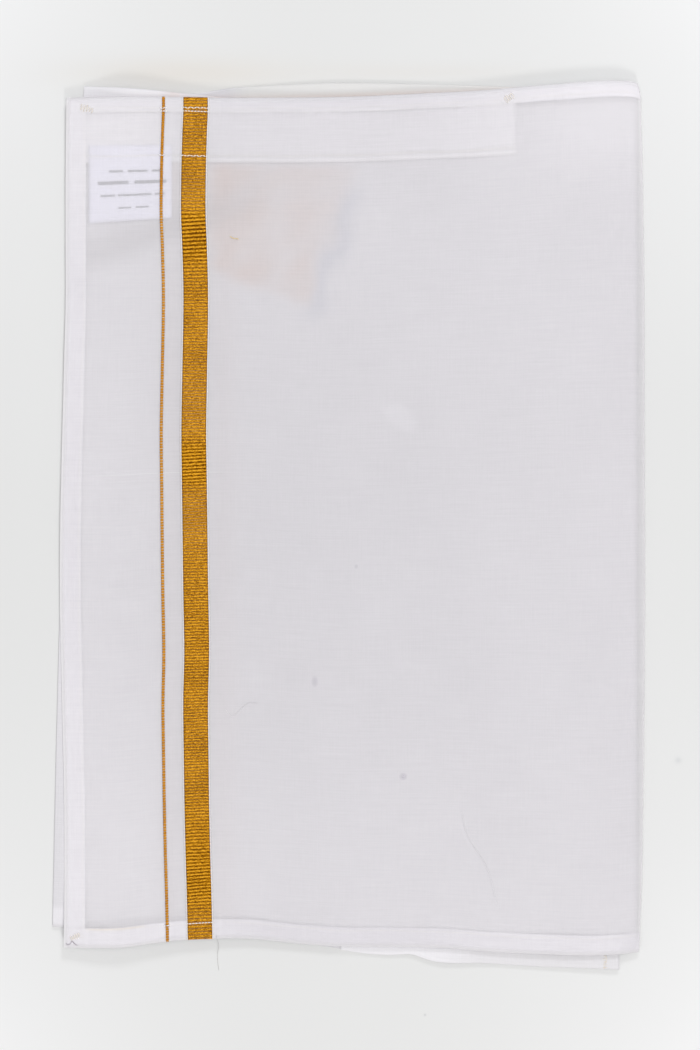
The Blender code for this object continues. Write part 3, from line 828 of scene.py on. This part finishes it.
# The ribs along the band, from the bottom end up: how far apart, and how strongly they stand
Rib = namedtuple("Rib", "along pitch out")
BAND_RIBS = (
    Rib(0.0, 2.3, 0.8), Rib(0.02, 2.4, 0.8), Rib(0.04, 2.45, 1.15), Rib(0.12, 2.45, 1.2),
    Rib(0.16, 2.2, 1.0), Rib(0.24, 2.15, 0.9), Rib(0.34, 2.15, 1.05), Rib(0.44, 2.15, 0.95),
    Rib(0.53, 2.15, 0.7), Rib(0.548, 2.4, 1.4), Rib(0.566, 2.55, 1.6),
    Rib(0.584, 2.4, 1.3), Rib(0.60, 2.15, 0.8), Rib(0.70, 2.15, 0.8), Rib(0.77, 2.3, 0.95),
    Rib(0.80, 2.7, 1.1), Rib(0.825, 2.95, 1.5), Rib(0.855, 2.9, 1.6), Rib(0.868, 2.5, 0.9),
    Rib(0.885, 2.3, 0.6), Rib(0.92, 2.35, 0.8), Rib(0.96, 2.35, 0.7), Rib(1.0, 2.3, 0.8),
)
LINE_RIBS = (
    Rib(0.0, 1.9, 1.0), Rib(0.10, 1.95, 1.0), Rib(0.30, 2.0, 1.0), Rib(0.54, 2.1, 1.4),
    Rib(0.70, 2.0, 1.0), Rib(0.84, 2.1, 1.4), Rib(0.90, 1.8, 0.7), Rib(1.0, 1.8, 0.6),
)
# Where the band's gold is painted duller or brighter, as part of its painted rib shine
ZARI_TONES = (
    Lift(BAND_MIDDLE, 524 * MM, -0.43, 16 * MM, 14 * MM),
    Lift(BAND_MIDDLE, 549 * MM, 0.34, 16 * MM, 9 * MM),
)


def ribs(table, s, t, tilt):
    """Ribs over a strip: the sine of a phase that grows along it by one turn a pitch, and
    how strongly they stand there. They tilt by that much where the pitch is widest."""
    fine = np.arange(-3 * MM, cloth_length + 3 * MM, 0.2 * MM)
    along = np.array([row.along for row in table])
    pitch = np.interp(fine / cloth_length, along, [row.pitch * MM for row in table])
    phase = np.cumsum(0.2 * MM / pitch) * 2 * math.pi
    strength = through(table, np.clip(t / cloth_length, 0, 1))
    lean = tilt * smooth_step(strength, 0.9, 1.5) + 0.012
    level = t - (s - s.mean()) * lean + 0.16 * MM * unevenness(s * 2, t, 51, 60 * MM, 9 * MM)
    return np.sin(np.interp(level, fine, phase)), strength


def border_strip(name, start, width, columns, table, rise, bare, tilt=0.0):
    """A strip of the border: the top stretch's points between two places, moved out, with
    ribs along it. Its two edges stand out at each rib. bare says how much ground shows
    between the ribs where they are weak, and where they are strong."""
    t = np.arange(-0.9 * MM, cloth_length + 0.9 * MM, ROW_STEP)
    lay = grid(np.linspace(start, start + width, columns), t)
    rib, strength = ribs(table, *lay, tilt)
    points = moved_out(top_cloth(*lay), ZARI_LIFT)
    points[..., 2] += rise * (1 + rib) * strength
    points[:, 0, 0] -= 1.6 * rise * rib[:, 0]
    points[:, -1, 0] += 1.6 * rise * rib[:, -1]
    between = smooth_step(-rib, 0.3, 0.9) * np.interp(strength, (0.4, 1.3), bare)
    # Painted light and shade: the tone mark makes the cords lighter and darker with each rib,
    # and the rib mark makes the gold's painted highlight and shade
    piece = add_shell(name, points, lay, ZARI_THICKNESS, tone=rib * 0.2, between=between,
                      rib=rib * strength + lifted(*lay, ZARI_TONES))
    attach(piece, "root")
    return piece


def zari(name, bright, middle, dark, ground, grain):
    """Gold thread: bright on the ribs and brown beside them, with the ground's own colour
    between, all broken up by single threads."""
    finish = Finish(name, Metallic=0.5, Roughness=0.45, Specular_IOR_Level=0.05)
    u, v = finish.lay()
    fine = finish.noise(u, v, grain * 2.0, grain * 1.3, 2.0) - 0.5
    dashes = finish.noise(u, v, 3.4 * MM, 0.8 * MM, 2.0) - 0.5
    broad = finish.noise(u, v, 24 * MM, 17 * MM, 2.0) - 0.5
    # Painted highlight on the rib crests and painted brown shade beside them, from the rib mark,
    # broken up by the single threads' own unevenness
    painted_rib_light_and_threads = finish.mark("rib") * 0.56 + fine * 3.9 + dashes * 2.7 + broad * 0.9
    colour = finish.mix(painted_rib_light_and_threads, (*middle, 1), (*bright, 1))
    colour = finish.mix(0.0 - painted_rib_light_and_threads, colour, (*dark, 1))
    colour = finish.mix(finish.mark("between") * (dashes + 0.75), colour, (*ground, 1))
    twist = ((u + v * 0.5) * (2 * math.pi / grain)).sine()
    finish.relief(twist * 0.35 + fine, 0.05 * MM)
    return finish, colour


zari_band = border_strip("border_band", BAND_START, BAND_WIDTH, 15, BAND_RIBS, 0.09 * MM,
                         (0.9, 0.0), 0.05)
finish, colour = zari("zari_band", (0.85, 0.415, 0.026), (0.44, 0.184, 0.004),
                      (0.10, 0.030, 0.001), (0.38, 0.22, 0.10), 0.6 * MM)
paint(finish, colour, zari_band)
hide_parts("zari_band")
zari_line = border_strip("border_line", LINE_START, LINE_WIDTH, 5, LINE_RIBS, 0.10 * MM,
                         (0.0, 0.75))
finish, colour = zari("zari_line", (0.70, 0.30, 0.014), (0.51, 0.20, 0.007),
                      (0.28, 0.095, 0.004), (0.84, 0.72, 0.50), 0.6 * MM)
paint(finish, colour, zari_line)
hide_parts("zari_line")

cords = (border_strip("cord_left", BAND_START - CORD_GAP - CORD_WIDTH, CORD_WIDTH, 3,
                      BAND_RIBS, 0.02 * MM, (0.0, 0.0)),
         border_strip("cord_right", BAND_START + BAND_WIDTH + CORD_GAP, CORD_WIDTH, 3,
                      BAND_RIBS, 0.02 * MM, (0.0, 0.0)))
finish, u, v, white = cotton("cord_cotton", (1.0, 0.985, 0.98), (0.84, 0.80, 0.78))
for cord in cords:
    paint(finish, white, cord)


# ---------------------------------------------------------------------------------------
# The sewing. White lockstitch rows hold the hems and the waistband. They stand out where
# they cross the gold, and are drawn down into the cloth everywhere else.
# ---------------------------------------------------------------------------------------

STITCH_PITCH = 2.35 * MM
STITCH_LENGTH = 2.1 * MM
STITCH_RADIUS = 0.36 * MM
STITCH_SINK = 0.45 * MM

Row = namedtuple("Row", "s0 t0 s1 t1 zigzag")
SEWN_ROWS = (
    Row(SIDE_HEM - 1.6 * MM, 6 * MM, SIDE_HEM - 1.6 * MM, cloth_length - 4 * MM, 0.0),
    Row(SIDE_HEM, BOTTOM_HEM - 2.4 * MM, cloth_width - 3 * MM, BOTTOM_HEM - 2.4 * MM, 0.0),
    Row(8 * MM, cloth_length - 7.7 * MM, cloth_width - 3 * MM, cloth_length - 7.7 * MM,
        0.42 * MM),
    Row(10 * MM, cloth_length - 10.2 * MM, WAIST_LENGTH + 4 * MM, cloth_length - 10.2 * MM,
        0.0),
    Row(4 * MM, cloth_length - 43.0 * MM, WAIST_LENGTH - 1 * MM, cloth_length - 43.0 * MM,
        0.36 * MM),
)


def tube(path, radius, sides=6):
    """Points of a tube round each path of points, narrowed at both ends. path is
    (paths, steps, 3). The ring at each step lies square to the path there."""
    along = np.gradient(path, axis=1)
    along = along / np.linalg.norm(along, axis=-1, keepdims=True)
    side = np.cross(along, (0.0, 0.0, 1.0))
    side = side / np.maximum(np.linalg.norm(side, axis=-1, keepdims=True), 1e-9)
    over = np.cross(side, along)
    turn = np.arange(sides) / sides * 2 * math.pi
    ring = side[:, :, None] * np.cos(turn)[:, None] + over[:, :, None] * np.sin(turn)[:, None]
    taper = np.ones(path.shape[1])
    taper[0] = taper[-1] = 0.35
    return path[:, :, None] + ring * (radius * taper)[None, :, None, None]


def add_tubes(name, points):
    """Tubes as one mesh: quads between the rings, and a cap at each end."""
    paths, steps, sides = points.shape[:3]
    ring = np.arange(sides)
    ahead = (ring + 1) % sides
    step = np.arange(steps - 1)[:, None] * sides
    quads = np.stack((step + ring, step + ahead, step + sides + ahead, step + sides + ring),
                     axis=-1).reshape(-1, 4)
    start = np.arange(paths)[:, None, None] * steps * sides
    quads = (quads[None] + start).reshape(-1, 4)
    first = (ring[::-1][None] + start[:, 0]).tolist()
    last = (ring[None] + (steps - 1) * sides + start[:, 0]).tolist()
    mesh = bpy.data.meshes.new(name)
    mesh.from_pydata(points.reshape(-1, 3), [], quads.tolist() + first + last)
    mesh.shade_smooth()
    piece = bpy.data.objects.new(name, mesh)
    bpy.context.collection.objects.link(piece)
    return piece


def sewn_row(row, seed):
    """Stitches along a row on the top stretch: each is a short arch that dips into the cloth
    at both ends, leaning to and fro where the row zigzags. Off the gold they are sunk."""
    rng = np.random.default_rng(seed)
    length = math.hypot(row.s1 - row.s0, row.t1 - row.t0)
    count = round(length / STITCH_PITCH)
    middle = (np.arange(count) + 0.5) / count
    reach = np.linspace(-1, 1, 6)
    part = middle[:, None] + reach * STITCH_LENGTH / 2 / length
    drift = 0.3 * MM * np.sin(part * length * 2 * math.pi / (63 * MM) + seed)
    lean = row.zigzag * np.where(np.arange(count) % 2, 1, -1) + rng.normal(0, 0.1 * MM, count)
    aside = drift + lean[:, None] * reach
    ds, dt = (row.s1 - row.s0) / length, (row.t1 - row.t0) / length
    s = row.s0 + (row.s1 - row.s0) * part - dt * aside
    t = row.t0 + (row.t1 - row.t0) * part + ds * aside
    points = top_cloth(s, t)
    on_gold = np.abs(s - BAND_MIDDLE) < BAND_WIDTH / 2 + 0.5 * MM
    on_gold = on_gold | (np.abs(s - LINE_START - LINE_WIDTH / 2) < LINE_WIDTH)
    points[..., 2] += COTTON / 2 - STITCH_SINK
    points[..., 2] += np.where(on_gold, STITCH_SINK + ZARI_LIFT + 0.12 * MM, 0)
    points[..., 2] += np.where(on_gold, 0.12 * MM, 0.03 * MM) * (1 - reach ** 2)
    return points


def speckled(name, pale, deep, grain):
    """Spun thread, shading between two colours in patches that long, with a fine twist."""
    finish = Finish(name, Roughness=0.6, Specular_IOR_Level=0.3, Sheen_Weight=0.2)
    x, y = finish.place()
    finish.relief(((x + y) * (2 * math.pi / (0.24 * MM))).sine(), 0.02 * MM)
    patchy = finish.noise(x, y, grain, grain, 3.0) * 1.8 - 0.4
    return finish, finish.mix(patchy, (*pale, 1), (*deep, 1))


paths = np.concatenate([sewn_row(row, 60 + i) for i, row in enumerate(SEWN_ROWS)])
stitches = add_tubes("stitches", tube(paths, STITCH_RADIUS))
finish, colour = speckled("white_thread", (1.0, 0.985, 0.97), (0.94, 0.905, 0.86), 3 * MM)
paint(finish, colour, stitches)
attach(stitches, "root")


# ---------------------------------------------------------------------------------------
# The bar tacks. Cream thread, zigzagged to and fro, locks two corners, the waistband's end
# and the lowest stretch's hem.
# ---------------------------------------------------------------------------------------

TACK_RADIUS = 0.16 * MM

Tack = namedtuple("Tack", "x y length width turn zigzags")
TACKS = (
    Tack(-193.5 * MM, 308.8 * MM, 10.5 * MM, 5.2 * MM, -0.30, 5),
    Tack(119.0 * MM, 317.0 * MM, 7.5 * MM, 5.6 * MM, 0.5, 4),
    Tack(-202.0 * MM, -304.0 * MM, 8.0 * MM, 4.6 * MM, 0.45, 5),
)
LOW_TACK = Tack(190.5 * MM, -323.2 * MM, 10.5 * MM, 3.0 * MM, 1.57, 6)


def on_top(x, y):
    """Where on the top stretch places lie, across and up: guessed, then mended four times by
    how far off the guess is."""
    s, t = x - side_line, y - bottom_line
    for _ in range(4):
        found = top_cloth(s, t)
        s, t = s + x - found[..., 0], t + y - found[..., 1]
    return s, t


def tack_path(tack, seed):
    """A thread's path to and fro across a tack, with uneven turns: places and lift."""
    rng = np.random.default_rng(seed)
    part = np.linspace(0, 1, tack.zigzags * 12 + 1)
    uneven = np.interp(part, np.linspace(0, 1, 9), rng.uniform(0.5, 1.2, 9))
    a = (part - 0.5) * tack.length + 0.5 * MM * np.sin(part * 31)
    b = np.sin(part * tack.zigzags * math.pi * 2) * uneven * tack.width / 2
    x = tack.x + a * math.cos(tack.turn) - b * math.sin(tack.turn)
    y = tack.y + a * math.sin(tack.turn) + b * math.cos(tack.turn)
    lift = 0.06 * MM * (1 + np.cos(part * tack.zigzags * math.pi * 4 + 1.0))
    return x, y, COTTON / 2 + 0.03 * MM + lift


tack_pieces = []
for number, tack in enumerate(TACKS):
    x, y, lift = tack_path(tack, 70 + number)
    path = top_cloth(*on_top(x, y))
    path[..., 2] += lift
    tack_pieces.append(add_tubes(f"tack_{number + 1}", tube(path[None], TACK_RADIUS)))
x, y, lift = tack_path(LOW_TACK, 77)
low_part = (x - cad_low[0]) / (lowest_right - cad_low[0])
path = lower_hem(x, np.clip(y - fold_low[1] + through(LOWEST_LOW_END, low_part), 0, 1))
path[..., 2] += lift
tack_pieces.append(add_tubes("tack_4", tube(path[None], TACK_RADIUS)))
finish, colour = speckled("cream_thread", (0.98, 0.94, 0.87), (0.93, 0.82, 0.66), 2.4 * MM)
for piece in tack_pieces:
    paint(finish, colour, piece)
    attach(piece, "root")


# ---------------------------------------------------------------------------------------
# Loose ends and lint. A dark thread end left at the lower left tack, one of yellow thread, a
# long end hanging off the bottom hem, and two hairs of fibre.
# ---------------------------------------------------------------------------------------

Place = namedtuple("Place", "x y")
LONG_END = (Place(-97.2, -303.0), Place(-97.0, -305.6), Place(-96.2, -308.6),
            Place(-96.0, -311.6), Place(-97.1, -318.2), Place(-96.7, -325.0),
            Place(-96.0, -330.0))
LONG_END_HEIGHTS = (5.4, 5.6, 4.4, 2.0, 0.25, 0.22, 0.2)
DARK_END = (Place(-209.0, -308.6), Place(-207.3, -309.8), Place(-205.6, -308.9),
            Place(-204.2, -307.0), Place(-202.6, -308.6), Place(-201.2, -309.7),
            Place(-200.2, -310.2))
YELLOW_END = (Place(-87.6, 214.4), Place(-85.6, 213.2), Place(-83.6, 212.6),
              Place(-82.4, 212.8), Place(-81.2, 212.0))
FIRST_HAIR = (Place(84, -212), Place(86, -222), Place(90, -233), Place(97, -243),
              Place(103, -254), Place(107, -267), Place(110, -281))
SECOND_HAIR = (Place(-91, -136), Place(-86, -141), Place(-80, -136), Place(-74, -131),
               Place(-67, -131))


def smooth_path(places, steps=60):
    """A smooth curve through places that are evenly apart in their order."""
    part = np.linspace(0, 1, steps)
    order = np.linspace(0, 1, len(places))
    x = through([Edge(o, p.x * MM) for o, p in zip(order, places)], part)
    y = through([Edge(o, p.y * MM) for o, p in zip(order, places)], part)
    return x, y


def lying_thread(name, places, radius):
    """A thread that lies on the top stretch along places."""
    path = top_cloth(*on_top(*smooth_path(places)))
    path[..., 2] += COTTON / 2 + radius + 0.03 * MM
    return add_tubes(name, tube(path[None], radius))


x, y = smooth_path(LONG_END)
order = np.linspace(0, 1, len(LONG_END_HEIGHTS))
z = through([Edge(o, h * MM) for o, h in zip(order, LONG_END_HEIGHTS)], np.linspace(0, 1, 60))
path = np.stack((x, y, z), axis=-1)
End = namedtuple("End", "piece pale deep")
ENDS = (
    End(add_tubes("thread_long", tube(path[None], 0.15 * MM)),
        (0.50, 0.49, 0.47), (0.70, 0.69, 0.68)),
    End(lying_thread("thread_dark", DARK_END, 0.16 * MM),
        (0.20, 0.16, 0.21), (0.40, 0.34, 0.40)),
    End(lying_thread("thread_yellow", YELLOW_END, 0.20 * MM),
        (0.86, 0.60, 0.14), (0.90, 0.74, 0.35)),
    End(lying_thread("hair_long", FIRST_HAIR, 0.05 * MM),
        (0.58, 0.54, 0.60), (0.68, 0.65, 0.69)),
    End(lying_thread("hair_short", SECOND_HAIR, 0.05 * MM),
        (0.50, 0.47, 0.50), (0.60, 0.57, 0.59)),
)
for end in ENDS:
    finish, colour = speckled(end.piece.name, end.pale, end.deep, 2.0 * MM)
    paint(finish, colour, end.piece)
    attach(end.piece, "root")


# ---------------------------------------------------------------------------------------
# The surface, the light and the camera. A pale surface, painted lighter towards its corners
# and with a painted warm shadow by the cloth's top edge, a broad soft lamp overhead, two
# smaller ones beyond its ends, and pale light all round, seen from straight above.
# ---------------------------------------------------------------------------------------

SCENE_WIDTH = 0.777
LENS = 70.0
SENSOR = 36.0
SEEN_FROM = (1.3 * MM, 0.7 * MM, SCENE_WIDTH * LENS / SENSOR + 5 * MM)
FLOOR_SIZE = 5
CORNER_X, CORNER_Y = 0.26, 0.38
ROOM_LIGHT = 0.483

bpy.ops.mesh.primitive_grid_add(x_subdivisions=8, y_subdivisions=8, size=FLOOR_SIZE)
floor = bpy.context.active_object
floor.name = "floor"
pale = Finish("pale_surface", Roughness=0.9, Specular_IOR_Level=0.2)
x, y = pale.place()
soft = pale.noise(x, y, 0.3, 0.25) - 0.5
# Painted light: the surface is painted lighter towards its corners
painted_corner_light = x * x * (y * y) * (1 / (CORNER_X ** 2 * CORNER_Y ** 2))
painted_corner_light = painted_corner_light.math("MINIMUM", painted_corner_light, 1.0)
colour = pale.mix(soft * 0.3 + painted_corner_light * 0.95, (0.785, 0.787, 0.785, 1), (0.89, 0.892, 0.896, 1))

# Two painted warm shadows along the cloth's top edge, and two dull spots: each is a soft oval
Spot = namedtuple("Spot", "x y reach_x reach_y strength colour")
PAINTED_SHADOW_AND_SPOTS = (
    Spot(-120 * MM, 336 * MM, 75 * MM, 12 * MM, 0.95, (0.78, 0.752, 0.715)),
    Spot(50 * MM, 337 * MM, 90 * MM, 7 * MM, 0.4, (0.77, 0.745, 0.715)),
    Spot(245 * MM, -174 * MM, 2.4 * MM, 2.4 * MM, 0.6, (0.66, 0.67, 0.68)),
    Spot(57 * MM, -363 * MM, 0.9 * MM, 0.9 * MM, 0.6, (0.55, 0.55, 0.56)),
)
for spot in PAINTED_SHADOW_AND_SPOTS:
    dx, dy = (x - spot.x) * (1 / spot.reach_x), (y - spot.y) * (1 / spot.reach_y)
    away = (dx * dx + dy * dy) * -1.0
    colour = pale.mix(away.math("EXPONENT", away) * spot.strength, colour, (*spot.colour, 1))
paint(pale, colour, floor)

Lamp = namedtuple("Lamp", "name x y z size energy colour")
LAMPS = (
    Lamp("overhead", 0.0, 0.1, 2.2, 1.6, 15.0, (1.0, 1.0, 1.0)),
    Lamp("far_side", 0.5, 2.2, 1.3, 0.50, 18.6, (0.97, 0.985, 1.0)),
    Lamp("near_side", 0.5, -2.2, 1.3, 0.50, 18.6, (1.0, 0.985, 0.965)),
)
for row in LAMPS:
    lamp = bpy.data.objects.new(row.name, bpy.data.lights.new(row.name, "AREA"))
    lamp.data.size = row.size
    lamp.data.energy = row.energy
    lamp.data.color = row.colour
    lamp.location = (row.x, row.y, row.z)
    lamp.rotation_euler = lamp.location.to_track_quat("Z", "Y").to_euler()
    bpy.context.collection.objects.link(lamp)

world = bpy.data.worlds.new("pale_room")
world.use_nodes = True
room = world.node_tree.nodes["Background"]
room.inputs["Color"].default_value = (1.0, 1.0, 1.0, 1)
room.inputs["Strength"].default_value = ROOM_LIGHT
bpy.context.scene.world = world
bpy.context.scene.view_settings.view_transform = "Standard"

camera = bpy.data.objects.new("camera", bpy.data.cameras.new("camera"))
camera.data.lens = LENS
camera.data.sensor_width = SENSOR
camera.location = SEEN_FROM
bpy.context.collection.objects.link(camera)
bpy.context.scene.camera = camera
